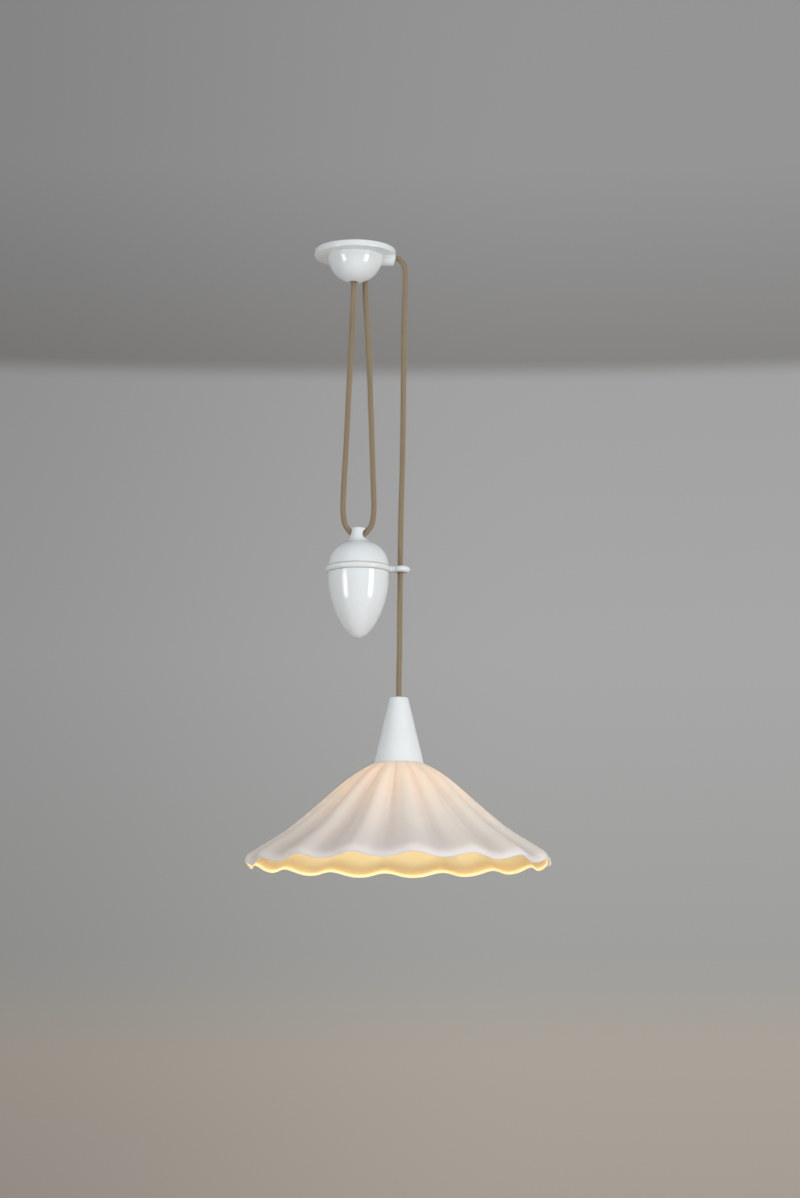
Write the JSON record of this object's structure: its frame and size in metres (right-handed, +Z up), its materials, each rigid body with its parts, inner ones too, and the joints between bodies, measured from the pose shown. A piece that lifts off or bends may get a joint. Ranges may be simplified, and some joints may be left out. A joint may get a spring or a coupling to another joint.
{
  "type": "rise and fall pendant light",
  "caption": "Rise and fall pendant: fluted translucent shade and cone on a braided cord, run over a wheel in a round ceiling rose, with an egg shaped counterweight in the cord's loop.",
  "frame": {"origin": "middle of the ceiling plate where it meets the ceiling", "axes": "+Z up, out of the ceiling plate's back; +X from the ceiling rose to the lamp"},
  "size_m": [0.4002, 0.4002, 0.8347],
  "materials": {
    "glazed_porcelain": "gloss",
    "matte_porcelain": "matte",
    "bone_china": "satin",
    "cord_braid": "matte",
    "plated_steel": "satin",
    "brass": "satin",
    "cast_weight": "matte",
    "black_plastic": "satin",
    "white_nylon": "satin",
    "cork": "matte",
    "opal_glass": "satin",
    "brown_core": "satin",
    "blue_core": "satin",
    "earth_core": "satin"
  },
  "bodies": {
    "root": {"mounting_plate": "plated_steel", "ceiling_rose": "glazed_porcelain", "rose_grub_screws": "plated_steel", "wheel_bracket": "plated_steel", "bracket_rivets": "plated_steel", "wheel_axle": "plated_steel", "axle_clip": "plated_steel", "terminal_block": "white_nylon", "terminal_screws": "brass", "earth_screw": "brass", "cord_clamp": "white_nylon", "clamp_screws": "plated_steel", "live_core": "brown_core", "neutral_core": "blue_core", "earth_core": "earth_core", "cord_to_terminals": "cord_braid", "cord_over_wheel": "cord_braid", "cord_loop": "cord_braid", "cord_drop": "cord_braid"},
    "rose_wheel": {"rose_wheel": "white_nylon"},
    "counterweight": {"counterweight_cap": "glazed_porcelain", "cap_bush": "brass", "cap_seal": "cork", "guide_ring": "glazed_porcelain", "egg_seal": "cork", "counterweight_egg": "glazed_porcelain", "ballast": "cast_weight", "tie_stud": "plated_steel", "stud_nut": "plated_steel"},
    "lamp": {"cone": "matte_porcelain", "cord_grip": "white_nylon", "grip_screw": "brass", "entry_nipple": "brass", "holder_cap": "black_plastic", "contact_block": "matte_porcelain", "holder_terminals": "brass", "centre_contact": "brass", "screw_shell": "brass", "holder_body": "black_plastic", "upper_washer": "cork", "lower_washer": "cork", "shade_ring": "black_plastic", "shade": "bone_china", "bulb_glass": "opal_glass", "bulb_cap": "plated_steel", "bulb_contact": "brass", "cord_in_lamp": "cord_braid"}
  },
  "joints": [
    {"name": "lamp_travel", "type": "slide", "parent": "root", "child": "lamp", "axis": [0, 0, 1], "range_m": [-0.5, 0.1], "deforming": ["cord_drop"]},
    {"name": "counterweight_travel", "type": "slide", "parent": "root", "child": "counterweight", "axis": [0, 0, 1], "range_m": [-0.05, 0.25], "deforming": ["cord_loop"]},
    {"name": "rose_wheel_turn", "type": "hinge", "parent": "root", "child": "rose_wheel", "pos_m": [0.0108, 0, -0.0218], "axis": [0, 1, 0], "range_deg": [-460, 2250]}
  ],
  "couplings": [
    {"joint": "counterweight_travel", "follows": "lamp_travel", "ratio": -0.5},
    {"joint": "rose_wheel_turn", "follows": "lamp_travel", "rad_per_m": -78.125}
  ]
}
